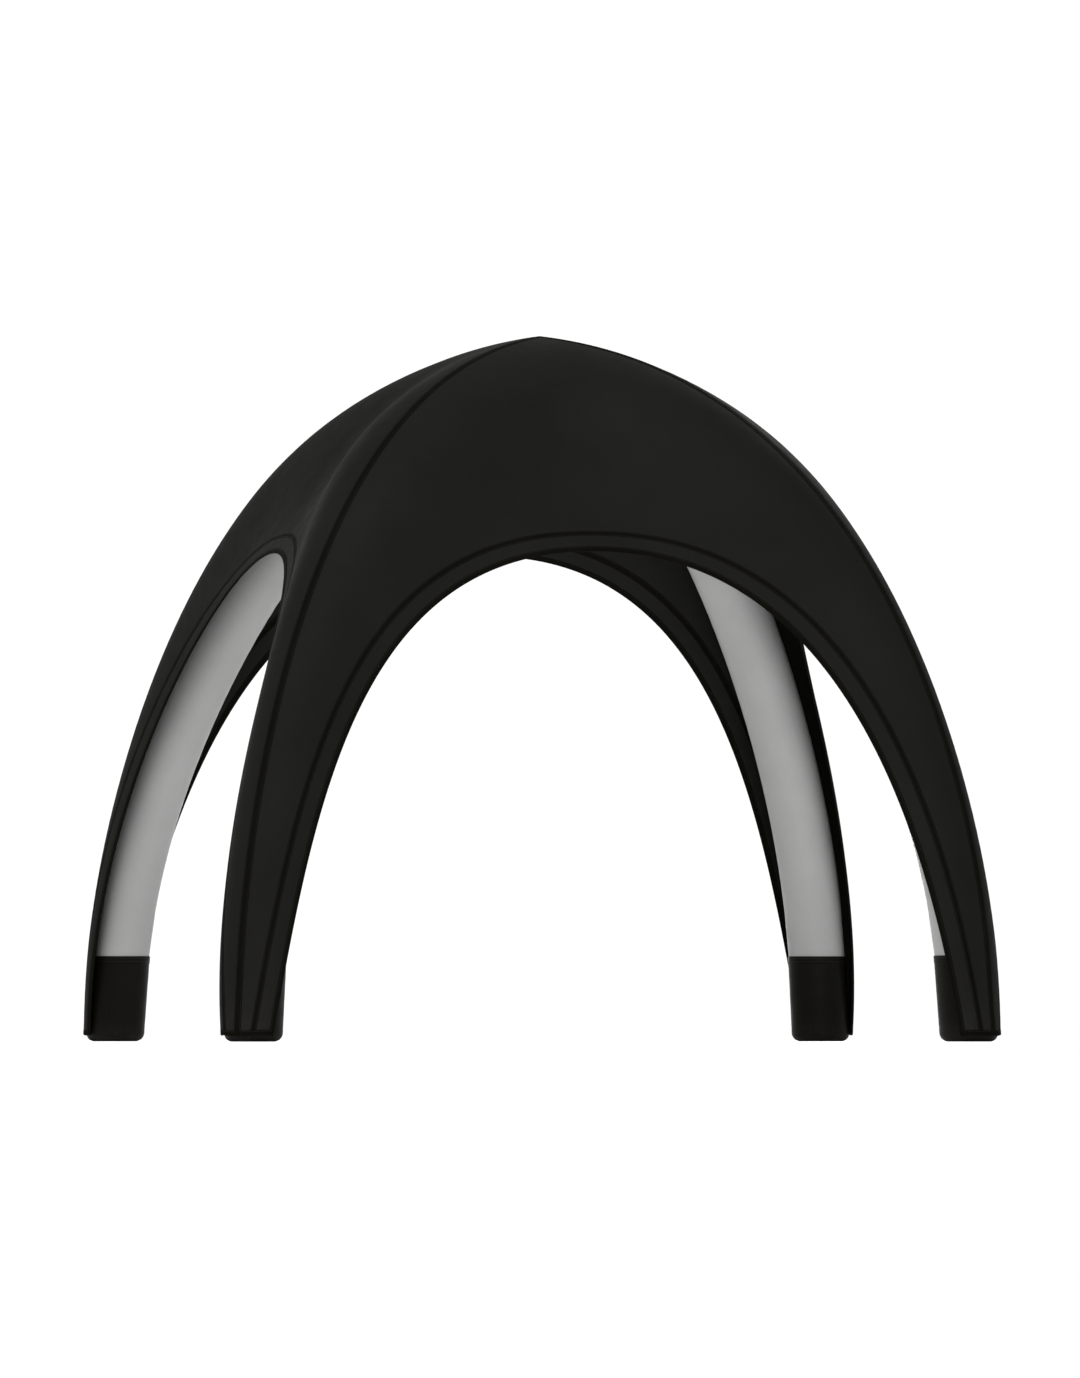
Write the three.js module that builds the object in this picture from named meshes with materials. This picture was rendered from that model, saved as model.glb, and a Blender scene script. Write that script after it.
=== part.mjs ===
// Tent held up by air: four bent tubes meet at a crown and carry a cloth roof of four arched panels.
// Millimetres, +Z up, the front faces -Y, the middle of the floor is the origin.
// One panel is shaped facing +Y and one leg towards +X +Y, and quarter turns make the others.

import * as THREE from "three";

// Line of a ridge, from the crown down to the top of the boot and straight on to the floor
const FOOT_SPAN = 3000; // centre to centre of neighbouring feet
const PEAK_HEIGHT = 2915; // floor to the middle of the cloth at the crown
const CROWN_SLOPE = 0.105; // fall of a ridge where it leaves the crown
const CROWN_PULL = 1740; // how far the ridge keeps that slope in its curve
const LEG_LEAN = 0.088; // outward lean of a leg at the boot, per unit of height
const LEG_PULL = 600; // how far the ridge keeps that lean in its curve

// Half of the arch edge of a panel, as the four control points of one curve from the top to the foot
const ARCH_EDGE = [
  { across: 0, out: 1120, up: 2019 },
  { across: 969, out: 1120, up: 2019 },
  { across: 1269, out: 1648, up: 1020 },
  { across: 1440, out: 1616, up: 25 },
];

// Way the cloth faces along the arch edge, at the two ends of that curve
const HEM_FACING = {
  top: { across: 0, out: 0.8, up: 0.6 },
  foot: { across: -0.454, out: 0.891, up: 0 },
};

// Cloth
const CLOTH = 2; // thickness of a panel
const HEM_CLOTH = 3.6; // thickness of the turned hem
const HEM_WIDTH = 90;
const HEM_STEP = 4; // width over which the cloth thickens at the hem line
const RIB_PULL = 0.4; // fullness of a panel between ridge and arch, per unit of their distance
const CROWN_ZONE = 1600; // length of ridge below the crown over which the panel turns square to it
const CROWN_FALL = 0.092; // extra fall of a panel beside its ridges at the crown
const CROWN_FALL_GAIN = 0.00032; // growth of that fall per unit of ridge
const CROWN_TRIM = 0.00058; // loss of fullness beside a ridge per unit of ridge
const RIB_CROWDING = 2.8; // how strongly the ribs of a panel crowd together over the arch top
const PANEL_GAP = 0.35; // each panel stands this far out from the seams

// Bindings
const TAPE_HALF_WIDTH = 17;
const TAPE = 1.6; // thickness of the ridge tape
const TAPE_FIT = 0.4; // gap between the ridge tape and the cloth
const TAPE_MARGIN = 3; // cloth left bare beside the tape by the first row of the panel
const TAPE_TIP = { start: 1.4, halfWidth: 0.7 }; // where the four tapes meet at the crown
const EDGE_LAP = 22; // how far the arch binding laps onto the cloth
const EDGE_TAPE = 1.4; // thickness of the arch binding
const EDGE_FIT = 0.4; // gap between the arch binding and the faces of the hem
const EDGE_END_FIT = 0.8; // gap between the arch binding and the cut edge
const FOOT_LAP = 20; // how far the foot binding laps onto the cloth
const FOOT_END_GAP = 1.5; // gap between the foot binding and the arch binding

// Tubes and boots
const TUBE_RADIUS = { crown: 138, foot: 117 };
const TUBE_DROP = 70; // how far a tube hangs free of the cloth, halfway between the crown and the boot
const MITRE_GAP = 0.35; // each tube stands this far out from the mitre planes
const BOOT_HEIGHT = 354;
const BOOT_WALL = 3;
const BOOT_FLOOR = 5;
const BOOT_FIT = 0.4; // gap between tube and boot
const BOOT_ROUND = 35; // rounding at the edge of the sole
const CLOTH_FIT = 0.6; // gap between boot and cloth

// Fineness of the shapes
const RIDGE_BAYS = 16; // from the crown to the boot
const CROWN_STATION = 40; // extra ridge point this far from the crown
const PANEL_ROWS = [0, 0.1, 0.22, 0.37, 0.55, 0.76, 1]; // between the tape and the hem line
const TUBE_SIDES = 16;

// Sides of a tape section that are split along the other diagonal
const FOLD_SIDES = { early: [0, 4], late: [2, 6] };
const RIDGE_SIDES = [0, 3];

const DIAGONAL = Math.SQRT1_2;
const SKIN_BOTTOM = ARCH_EDGE[3].up;
const SKIN_OFFSET = BOOT_FIT + BOOT_WALL + CLOTH_FIT + CLOTH / 2; // tube surface to the middle of the cloth
const FLOOR_RIDGE = FOOT_SPAN * DIAGONAL + TUBE_RADIUS.foot + SKIN_OFFSET;
const BOOT_RIDGE = FLOOR_RIDGE - LEG_LEAN * BOOT_HEIGHT;

const ridgeCurve = new THREE.CubicBezierCurve(
  new THREE.Vector2(0, PEAK_HEIGHT),
  new THREE.Vector2(CROWN_PULL, PEAK_HEIGHT - CROWN_SLOPE * CROWN_PULL),
  new THREE.Vector2(BOOT_RIDGE - LEG_LEAN * LEG_PULL, BOOT_HEIGHT + LEG_PULL),
  new THREE.Vector2(BOOT_RIDGE, BOOT_HEIGHT),
);
const archCurve = new THREE.CubicBezierCurve3(...ARCH_EDGE.map(vectorOf));
const RIDGE_LENGTH = ridgeCurve.getLength();
const LEG_LENGTH = (BOOT_HEIGHT - SKIN_BOTTOM) * Math.hypot(1, LEG_LEAN);
const SEAM_LENGTH = RIDGE_LENGTH + LEG_LENGTH;
const ARCH_LENGTH = archCurve.getLength();

function vectorOf(place) {
  return new THREE.Vector3(place.across, place.out, place.up);
}

function onDiagonal(flat) {
  return new THREE.Vector3(flat.x * DIAGONAL, flat.x * DIAGONAL, flat.y);
}

// A place on the ridge: its distance from the crown, its position, its run towards the foot and its facing
function ridgeStation(distance) {
  const part = Math.min(distance / RIDGE_LENGTH, 1);
  const flat = ridgeCurve.getPointAt(part);
  const run = ridgeCurve.getTangentAt(part);
  flat.addScaledVector(run, Math.max(distance - RIDGE_LENGTH, 0));
  const facing = new THREE.Vector2(-run.y, run.x);
  return { distance, position: onDiagonal(flat), run: onDiagonal(run), facing: onDiagonal(facing) };
}

// Closed solid through a row of rings, each counter-clockwise as seen from the end of the row
// A cell between two rings is split along one diagonal, or along the other where crossed says so
function ringSolid(rings, endFaces, crossed = () => false) {
  const corners = rings[0].length;
  const last = (rings.length - 1) * corners;
  const faces = [];
  for (let ring = 0; ring + 1 < rings.length; ring += 1) {
    const start = ring * corners;
    for (let corner = 0; corner < corners; corner += 1) {
      const here = start + corner;
      const next = start + ((corner + 1) % corners);
      if (crossed(corner, ring)) {
        faces.push(here, next, here + corners, next, next + corners, here + corners);
      } else {
        faces.push(here, next, next + corners, here, next + corners, here + corners);
      }
    }
  }
  for (const [a, b, c] of endFaces) {
    faces.push(a, c, b, last + a, last + b, last + c);
  }
  const geometry = new THREE.BufferGeometry().setFromPoints(rings.flat());
  geometry.setIndex(faces);
  return geometry;
}

// End faces of a round ring
function fanFaces(corners) {
  return Array.from({ length: corners - 2 }, (unused, index) => [0, index + 1, index + 2]);
}

// End faces of a ring that runs along one side of a sheet and back along the other
function stripFaces(corners) {
  const faces = [];
  for (let near = 0; near + 1 < corners / 2; near += 1) {
    const far = corners - 1 - near;
    faces.push([near, near + 1, far - 1], [near, far - 1, far]);
  }
  return faces;
}

// Solid sheet from sections that each give the points of its two sides in the same order
function sheetSolid(sections, crossed) {
  const rings = sections.map(({ first, second }) => [...first, ...second.slice().reverse()]);
  return ringSolid(rings, stripFaces(rings[0].length), crossed);
}

// Curve across the panel from a ridge station to the matching place on the arch edge
function ribCurve(station) {
  const fromFoot = SEAM_LENGTH - station.distance;
  const crowding = (SEAM_LENGTH - ARCH_LENGTH) * (fromFoot / SEAM_LENGTH) ** RIB_CROWDING;
  const archPart = THREE.MathUtils.clamp(1 - (fromFoot - crowding) / ARCH_LENGTH, 0, 1);
  const edge = archCurve.getPointAt(archPart);
  const facing = vectorOf(HEM_FACING.top).lerp(vectorOf(HEM_FACING.foot), archPart);
  const arrival = facing.cross(archCurve.getTangentAt(archPart)).normalize();
  const crown = Math.max(1 - station.distance / CROWN_ZONE, 0) ** 2;
  const fall = crown * (CROWN_FALL + CROWN_FALL_GAIN * station.distance);
  const departure = new THREE.Vector3(-DIAGONAL, DIAGONAL, -fall);
  departure.addScaledVector(station.run, crown).normalize();
  const pull = RIB_PULL * station.position.distanceTo(edge);
  const ridgePull = pull * (1 - crown * CROWN_TRIM * station.distance);
  return new THREE.CubicBezierCurve3(
    station.position,
    station.position.clone().addScaledVector(departure, ridgePull),
    edge.clone().addScaledVector(arrival, -pull),
    edge,
  );
}

// Middle of the cloth along one rib, with half the thickness at each point
function ribRow(curve) {
  const length = curve.getLength();
  const tapeEnd = TAPE_HALF_WIDTH + TAPE_MARGIN;
  const hemLine = length - HEM_WIDTH;
  const stops = [{ at: 0, half: CLOTH / 2 }];
  for (const part of PANEL_ROWS) {
    stops.push({ at: THREE.MathUtils.lerp(tapeEnd, hemLine, part), half: CLOTH / 2 });
  }
  for (const at of [hemLine + HEM_STEP, length - EDGE_LAP, length]) {
    stops.push({ at, half: HEM_CLOTH / 2 });
  }
  return stops.map(({ at, half }) => ({ point: curve.getPointAt(Math.min(at / length, 1)), half }));
}

function mirrorAcross(point) {
  return new THREE.Vector3(-point.x, point.y, point.z);
}

// Points of the whole panel: columns from the left foot over the crown to the right foot
// Rows run from the ridge to the arch
function panelGrid(stations) {
  const right = stations.map((station) => ribRow(ribCurve(station)));
  const left = right.slice(1).reverse();
  const mirrored = left.map((row) => row.map(({ point, half }) => ({ point: mirrorAcross(point), half })));
  const columns = [...mirrored, ...right];
  return columns.map((row, column) => row.map((cell, index) => {
    const before = columns[Math.max(column - 1, 0)][index].point;
    const after = columns[Math.min(column + 1, columns.length - 1)][index].point;
    const towardsRidge = row[Math.max(index - 1, 0)].point;
    const towardsArch = row[Math.min(index + 1, row.length - 1)].point;
    const sideways = after.clone().sub(before);
    const facing = sideways.cross(towardsArch.clone().sub(towardsRidge)).normalize();
    const shifted = cell.point.clone().add(new THREE.Vector3(0, PANEL_GAP, 0));
    return {
      outside: shifted.clone().addScaledVector(facing, cell.half),
      inside: shifted.clone().addScaledVector(facing, -cell.half),
      facing,
      half: cell.half,
    };
  }));
}

function inLeftHalf(grid, column) {
  return column + 1 < grid.length / 2;
}

// The inside and the outside are split along the same diagonals, and the left half is the mirror image
function panelSolid(grid) {
  const sections = grid.map((row) => ({
    first: row.map((cell) => cell.inside),
    second: row.map((cell) => cell.outside),
  }));
  const crossed = (corner, column) => corner >= grid[0].length !== inLeftHalf(grid, column);
  return sheetSolid(sections, crossed);
}

// Section of a tape folded round a cut edge, with the way on past that edge and half the cloth it holds
function foldedTape(edge, onward, facing, half, lap) {
  const corner = (along, height) =>
    edge.clone().addScaledVector(onward, along).addScaledVector(facing, height);
  const wrap = (end, height) => [
    corner(-lap, -height),
    corner(end, -height),
    corner(end, height),
    corner(-lap, height),
  ];
  return {
    first: wrap(EDGE_END_FIT + EDGE_TAPE, half + EDGE_FIT + EDGE_TAPE),
    second: wrap(EDGE_END_FIT, half + EDGE_FIT),
  };
}

function middleOf(cell) {
  return cell.outside.clone().lerp(cell.inside, 0.5);
}

// Binding folded round the arch edge, laid over the last two rows of the panel
// It is split as the panel under it is, so that the two stay parallel
function archBindingSolid(grid) {
  const sections = grid.map((row) => {
    const [near, edge] = row.slice(-2);
    const onward = middleOf(edge).sub(middleOf(near)).normalize();
    const facing = edge.facing.clone().addScaledVector(onward, -edge.facing.dot(onward)).normalize();
    return foldedTape(middleOf(edge), onward, facing, HEM_CLOTH / 2, EDGE_LAP);
  });
  const crossed = (side, column) => FOLD_SIDES.late.includes(side) !== inLeftHalf(grid, column);
  return sheetSolid(sections, crossed);
}

// Binding folded round the lower edge of a foot, between the ridge tape and the arch binding
// Its rings run from the ridge to the arch, or the other way when reversed
function footBindingSolid(foot, above, reversed) {
  const inner = foot.slice(1, -1);
  const sections = inner.map((cell, index) => {
    const edge = middleOf(cell);
    const onward = edge.clone().sub(middleOf(above[index + 1])).normalize();
    const half = Math.max(cell.half, inner[Math.max(index - 1, 0)].half);
    return foldedTape(edge, onward, cell.facing, half, FOOT_LAP);
  });
  const last = inner.length - 1;
  const shift = middleOf(inner[last - 1]).sub(middleOf(inner[last])).setLength(FOOT_END_GAP);
  [...sections[last].first, ...sections[last].second].forEach((point) => point.add(shift));
  const crossedSides = reversed ? FOLD_SIDES.early : FOLD_SIDES.late;
  return sheetSolid(reversed ? sections.reverse() : sections, (side) => crossedSides.includes(side));
}

function mirrorDiagonal(point) {
  return new THREE.Vector3(point.y, point.x, point.z);
}

// Tape over the ridge seam, laid on the first row of the panel and of its mirror image
// It is split as they are
function ridgeTapeSolid(grid, stations) {
  const sections = stations.map((station, index) => {
    const [seam, beside] = grid[stations.length - 1 + index];
    const halfWidth = index === 0 ? TAPE_TIP.halfWidth : TAPE_HALF_WIDTH;
    const across = beside.outside.clone().sub(seam.outside).setLength(halfWidth);
    const middle = station.position.clone().addScaledVector(station.facing, CLOTH / 2);
    if (index === 0) {
      middle.addScaledVector(station.run, TAPE_TIP.start);
      across.copy(new THREE.Vector3(-DIAGONAL, DIAGONAL, 0)).multiplyScalar(halfWidth);
    }
    const side = index === 0 ? middle.clone().add(across) : seam.outside.clone().add(across);
    const corners = [side, middle, mirrorDiagonal(side)];
    const layer = (height) =>
      corners.map((point) => point.clone().addScaledVector(station.facing, height));
    return { first: layer(TAPE_FIT + TAPE), second: layer(TAPE_FIT) };
  });
  return sheetSolid(sections, (corner) => RIDGE_SIDES.includes(corner));
}

// Ring of a tube about a centre, from the side that faces out
function tubeRing(centre, facing, radius) {
  const side = new THREE.Vector3(DIAGONAL, -DIAGONAL, 0);
  return Array.from({ length: TUBE_SIDES }, (unused, index) => {
    const angle = (2 * Math.PI * index) / TUBE_SIDES;
    return centre
      .clone()
      .addScaledVector(facing, radius * Math.cos(angle))
      .addScaledVector(side, radius * Math.sin(angle));
  });
}

// Ring where the first bay of a tube is cut by the two upright planes that it shares with its neighbours
function mitreRing(ring, nextRing) {
  const away = (point) => (point.x + point.y) * DIAGONAL;
  const aside = (point) => Math.abs(point.x - point.y) * DIAGONAL;
  return ring.map((point, index) => {
    const next = nextRing[index];
    const short = aside(point) + MITRE_GAP - away(point);
    const gain = away(next) - away(point) - (aside(next) - aside(point));
    return point.clone().lerp(next, short / gain);
  });
}

// Centre of a leg at a height within the boot
function legCentre(height) {
  const away = FOOT_SPAN * DIAGONAL - LEG_LEAN * height;
  return new THREE.Vector3(away * DIAGONAL, away * DIAGONAL, height);
}

// Radius and height of the rounded lower end of a boot or tube, from the wall to the flat sole
function roundedEnd(radius, bottom, round) {
  return [0, 0.25, 0.5].map((turn) => ({
    radius: radius - round * (1 - Math.cos(turn * Math.PI)),
    height: bottom + round * (1 - Math.sin(turn * Math.PI)),
  }));
}

function levelRing({ radius, height }) {
  return tubeRing(legCentre(height), new THREE.Vector3(DIAGONAL, DIAGONAL, 0), radius);
}

function tubeSolid(stations) {
  const rings = stations.slice(0, -1).map((station) => {
    const part = station.distance / RIDGE_LENGTH;
    const radius = THREE.MathUtils.lerp(TUBE_RADIUS.crown, TUBE_RADIUS.foot, part);
    const drop = TUBE_DROP * Math.sin(Math.PI * part) ** 2;
    const centre = station.position.clone().addScaledVector(station.facing, -radius - SKIN_OFFSET - drop);
    return tubeRing(centre, station.facing, radius);
  });
  rings[0] = mitreRing(rings[0], rings[1]);
  rings.push(levelRing({ radius: TUBE_RADIUS.foot, height: BOOT_HEIGHT }));
  const bottom = BOOT_FLOOR + BOOT_FIT;
  const round = BOOT_ROUND - BOOT_WALL - BOOT_FIT;
  rings.push(...roundedEnd(TUBE_RADIUS.foot, bottom, round).map(levelRing));
  return ringSolid(rings, fanFaces(TUBE_SIDES));
}

function bootSolid() {
  const inner = TUBE_RADIUS.foot + BOOT_FIT;
  const outer = inner + BOOT_WALL;
  const profile = [
    ...roundedEnd(inner, BOOT_FLOOR, BOOT_ROUND - BOOT_WALL).reverse(),
    { radius: inner, height: BOOT_HEIGHT },
    { radius: outer, height: BOOT_HEIGHT },
    ...roundedEnd(outer, 0, BOOT_ROUND),
  ];
  return ringSolid(profile.map(levelRing), fanFaces(TUBE_SIDES));
}

const panelCloth = new THREE.MeshStandardMaterial({ color: 0x1e1e1c, roughness: 0.8, metalness: 0 });
const tapeCloth = new THREE.MeshStandardMaterial({ color: 0x11100b, roughness: 0.75, metalness: 0 });
const tubeCloth = new THREE.MeshStandardMaterial({ color: 0x9d9d9c, roughness: 0.55, metalness: 0 });
const bootCloth = new THREE.MeshStandardMaterial({ color: 0x11100b, roughness: 0.5, metalness: 0 });

const tubeStations = Array.from({ length: RIDGE_BAYS + 1 }, (unused, bay) =>
  ridgeStation((RIDGE_LENGTH * bay) / RIDGE_BAYS));
const skinStations = [
  tubeStations[0],
  ridgeStation(CROWN_STATION),
  ...tubeStations.slice(1),
  ridgeStation(SEAM_LENGTH),
];
const grid = panelGrid(skinStations);
const firstFootBinding = footBindingSolid(grid.at(-1), grid.at(-2), true);
const secondFootBinding = footBindingSolid(grid[0], grid[1], false);

const pieces = [
  { name: "roof_panel", places: "sides", solid: panelSolid(grid), material: panelCloth },
  { name: "arch_binding", places: "sides", solid: archBindingSolid(grid), material: tapeCloth },
  { name: "foot_binding_first", places: "sides", solid: firstFootBinding, material: tapeCloth },
  { name: "foot_binding_second", places: "sides", solid: secondFootBinding, material: tapeCloth },
  { name: "ridge_tape", places: "corners", solid: ridgeTapeSolid(grid, skinStations), material: tapeCloth },
  { name: "air_tube", places: "corners", solid: tubeSolid(tubeStations), material: tubeCloth },
  { name: "boot", places: "corners", solid: bootSolid(), material: bootCloth },
];
const QUARTER_TURNS = {
  sides: ["back", "left", "front", "right"],
  corners: ["back_right", "back_left", "front_left", "front_right"],
};

const tent = new THREE.Group();
for (const { name, places, solid, material } of pieces) {
  QUARTER_TURNS[places].forEach((place, turns) => {
    const mesh = new THREE.Mesh(solid.clone().rotateZ((turns * Math.PI) / 2), material);
    mesh.name = `${name}_${place}`;
    tent.add(mesh);
  });
}

export default tent;
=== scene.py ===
"""Looks of an open tent that stands on four air tubes, made around its solids.

Metres, +Z up, the front faces -Y, the middle of the floor is the origin.
One panel is shaped facing +Y and one leg towards +X +Y, and quarter turns make the others.
"""

import math

import bpy
import numpy as np
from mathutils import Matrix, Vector


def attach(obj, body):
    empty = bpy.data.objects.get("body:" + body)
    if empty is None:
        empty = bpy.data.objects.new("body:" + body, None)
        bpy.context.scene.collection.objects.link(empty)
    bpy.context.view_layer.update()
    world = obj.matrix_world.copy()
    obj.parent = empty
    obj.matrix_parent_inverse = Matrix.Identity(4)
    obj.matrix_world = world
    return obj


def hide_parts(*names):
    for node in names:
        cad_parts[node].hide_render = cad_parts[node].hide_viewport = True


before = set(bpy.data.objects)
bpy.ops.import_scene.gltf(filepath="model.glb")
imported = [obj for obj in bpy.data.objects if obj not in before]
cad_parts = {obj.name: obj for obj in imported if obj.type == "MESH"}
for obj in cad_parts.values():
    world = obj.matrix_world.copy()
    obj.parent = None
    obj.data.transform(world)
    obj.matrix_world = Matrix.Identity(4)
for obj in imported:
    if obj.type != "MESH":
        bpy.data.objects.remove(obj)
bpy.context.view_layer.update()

# Line of a ridge, from the crown down to the top of the boot and straight on to the floor
FOOT_SPAN = 3.0
PEAK_HEIGHT = 2.915
CROWN_SLOPE = 0.105
CROWN_PULL = 1.74
LEG_LEAN = 0.088
LEG_PULL = 0.6

# Half of the arch edge of a panel, from the top to the foot: control points, each across, out and up
ARCH_EDGE = np.array([
    (0.0, 1.120, 2.019),
    (0.969, 1.120, 2.019),
    (1.269, 1.648, 1.020),
    (1.440, 1.616, 0.025),
])
HEM_FACING_TOP = np.array((0.0, 0.8, 0.6))
HEM_FACING_FOOT = np.array((-0.454, 0.891, 0.0))

# Cloth
CLOTH = 0.002
HEM_CLOTH = 0.0036
HEM_WIDTH = 0.09
RIB_PULL = 0.4
CROWN_ZONE = 1.6
CROWN_FALL = 0.092
CROWN_FALL_GAIN = 0.32
CROWN_TRIM = 0.58
RIB_CROWDING = 2.8
PANEL_GAP = 0.00035
PANEL_COLUMNS = 240  # on each half of a panel
FIELD_ROWS = 28  # between the ridge tape and the hem seam
HEM_ROWS = 5  # between the hem seam and the arch binding
ROW_CROWDING = 0.8  # how strongly the field rows crowd towards the seams
MIDDLE_ZONE = 0.25  # half width of the strip that is rounded over the centre line
MIDDLE_START = 0.35  # rows nearer to the crown keep their shape
MIDDLE_FULL = 0.70  # rows further from the crown are fully rounded
WEAVE_SLOPE = 0.85  # cloth used up for each metre that a panel goes out or down

# Seam along the top of the hem: offset from the hem line and rise above the cloth
SEAM_PROFILE = np.array([
    (-0.0125, 0.0),
    (-0.0113, 0.0008),
    (-0.0080, 0.0010),
    (0.0, 0.0010),
    (0.0080, 0.0010),
    (0.0113, 0.0008),
    (0.0125, 0.0),
])
SEAM_STITCH_ROWS = (2, 4)  # rows of that profile which carry stitches

# Small rises of the cloth beside its seams
PUCKER_PITCH = {"ridge": 0.062, "hem": 0.048}
PUCKER_HEIGHT = {"ridge": 0.0016, "hem": 0.0012}
PUCKER_REACH = {"ridge": 0.060, "hem": 0.045}
PUCKER_START = 0.010  # width over which a rise grows beside a seam
PUCKER_SPELL = 3  # pitches from one change of height and place to the next
PUCKER_DRIFT = 0.6  # most that a rise strays from its place, in pitches
PUCKER_LEAST = 0.25  # lowest rise as a share of the highest

# Bindings
TAPE_HALF_WIDTH = 0.017
TAPE_MARGIN = 0.003
TAPE = 0.0016
TAPE_FIT = 0.0004
TAPE_SOFT = 0.0006  # width of the rounding along its edges
TAPE_STITCH = 0.0130  # from the middle of the ridge tape to its stitches
TAPE_STEP = 0.014  # between sections of the ridge tape
TAPE_TIP = 0.0008  # gap of the ridge tape from the crown
TAPE_TOP_POINTS = 11
TAPE_UNDER_POINTS = 5
TAPE_PROBE = 0.004  # distance to the next point of the cloth, which shows how the cloth faces
EDGE_LAP = 0.022
EDGE_TAPE = 0.0014
EDGE_FIT = 0.0004
EDGE_END_FIT = 0.0008
EDGE_SOFT = 0.35  # rounding along its edges as a share of its thickness
EDGE_BEND_POINTS = 7
EDGE_STITCH = 0.017  # from the cut edge of an arch to the stitches of its binding
FOOT_LAP = 0.020
FOOT_END_GAP = 0.0015
FOOT_SECTIONS = 24

# Stitches
STITCH_PITCH = 0.010
STITCH_LENGTH = 0.0065
STITCH_WIDTH = 0.0013
STITCH_RISE = 0.0008
STITCH_BODY = 0.3  # half length of the full section as a share of the length
STITCH_CROWN = 0.9  # height of the full section over its line as a share of the rise
STITCH_DIP = 0.4  # depth of the ends under that line as a share of the rise
STITCH_PROBE = 0.001  # distance to the next point of the line, which shows how it runs

# Tubes
TUBE_RADIUS_CROWN = 0.138
TUBE_RADIUS_FOOT = 0.117
TUBE_DROP = 0.070
TUBE_SIDES = 56
TUBE_STEP = 0.022
TUBE_MITRE_BAY = 0.205  # length of tube beside the mitre
TUBE_FOOT_BAY = 0.205  # length of tube that turns level above the boot
TUBE_BAY_RINGS = 10
TUBE_END_RINGS = 5
TUBE_FOLD_PITCH = 0.085
TUBE_FOLD_DEPTH = 0.0014
TUBE_FOLD_FADE = 1.5  # how fast a fold fades away from the inner side of the bend
MITRE_GAP = 0.00035

# Boots
BOOT_HEIGHT = 0.354
BOOT_WALL = 0.003
BOOT_FLOOR = 0.005
BOOT_FIT = 0.0004
BOOT_ROUND = 0.035
BOOT_SIDES = 72
BOOT_WALL_RINGS = 13
BOOT_INNER_END_RINGS = 6
BOOT_OUTER_END_RINGS = 8
BOOT_HEM = 0.030
BOOT_HEM_RISE = 0.0010
BOOT_HEM_STEP = 0.001  # half the height over which the hem falls back to the wall
BOOT_HEM_CLEAR = 0.006  # from the hem to the first ring of the wall
BOOT_LIP_HEIGHT = 0.0012  # rounding of the top edge
BOOT_LIP_WIDTH = 0.0008
BOOT_STITCH_INSET = 0.008  # from the edges of the hem to its stitches
BOOT_STITCH_POINTS = 288  # of the ring that a row of stitches follows
BOOT_CREASE = 0.0008
BOOT_CREASE_PITCH = 0.085
BOOT_CREASE_WAVES = 3  # round the boot
BOOT_CREASE_SHIFT = 0.04  # down the wall, from one boot to the next
BOOT_CREASE_TURN = 0.9  # in the phase of the waves, from one boot to the next
BOOT_FREE_START = 0.1  # cosine from the inner side where the roof begins to leave the wall free
BOOT_FREE_FULL = 0.7  # cosine where the wall is fully free
CLOTH_FIT = 0.0006

# Dust near the ground
DUST = (0.05, 0.047, 0.042)
DUST_SHARE = 0.16  # at the floor
DUST_LEAST = 0.25  # between the specks, as a share of the specks
PANEL_DUST_TOP = 0.4
BOOT_DUST_TOP = 0.12

# Uneven tones: scale and detail of each
CLOTH_CLOUDS = (2.6, 5.0)
CLOTH_RUBBING = (14.0, 4.0)
DUST_SPECKS = (55.0, 6.0)
THREAD_TWIST = (900.0, 2.0)
FLOOR_CLOUDS = (0.5, 3.0)
USUAL_TONES = (0.3, 0.7)  # range where most of their values lie
WEAVE_STRENGTH = 0.25  # share of its depth that a weave shows

# Photograph's view: the camera stands left of the front, far away and low
VIEW_AZIMUTH = math.radians(11.4)
VIEW_DISTANCE = 200.0
VIEW_HEIGHT = 0.1
VIEW_CENTRE_ASIDE = 0.002
VIEW_CENTRE_HEIGHT = 1.458
FRAME_HEIGHT = 5.700
SENSOR = 36.0

# Studio: softboxes in front, each with a twin behind, and glows inside the tent
FLOOR_RADIUS = 300.0
FLOOR_SIDES = 96
SOFTBOXES = {
    "key": {"place": (-4.5, -6.0, 6.0), "target": (0.0, 0.0, 1.6), "size": 3.5, "power": 100.0},
    "fill": {"place": (-0.9, -9.1, 1.3), "target": (0.3, 0.0, 1.2), "size": 4.0, "power": 130.0},
}
INNER_GLOWS = {
    "left_glow": {"place": (-0.5, -0.3, 0.9), "size": 0.5, "power": 38.0},
    "right_glow": {"place": (1.35, -0.1, 0.7), "size": 0.25, "power": 26.0},
}
OVERHEAD_PLACE = (-3.0, -2.5, 8.0)
OVERHEAD_SPREAD = math.radians(50.0)
OVERHEAD_STRENGTH = 2.05
BACKDROP_LOW = 1.05  # strength of the backdrop near the horizon
BACKDROP_HIGH = 0.45  # and overhead
BACKDROP_BAND = (0.05, 0.4)  # upward part of a direction, over which it dims

# Worked out from the sizes above
DIAGONAL = math.sqrt(0.5)
SKIN_BOTTOM = ARCH_EDGE[3, 2]
SKIN_OFFSET = BOOT_FIT + BOOT_WALL + CLOTH_FIT + CLOTH / 2
FLOOR_RIDGE = FOOT_SPAN * DIAGONAL + TUBE_RADIUS_FOOT + SKIN_OFFSET
BOOT_RIDGE = FLOOR_RIDGE - LEG_LEAN * BOOT_HEIGHT
BOOT_INNER = TUBE_RADIUS_FOOT + BOOT_FIT
BOOT_OUTER = BOOT_INNER + BOOT_WALL
RIDGE = np.array([
    (0.0, PEAK_HEIGHT),
    (CROWN_PULL, PEAK_HEIGHT - CROWN_SLOPE * CROWN_PULL),
    (BOOT_RIDGE - LEG_LEAN * LEG_PULL, BOOT_HEIGHT + LEG_PULL),
    (BOOT_RIDGE, BOOT_HEIGHT),
])
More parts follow.
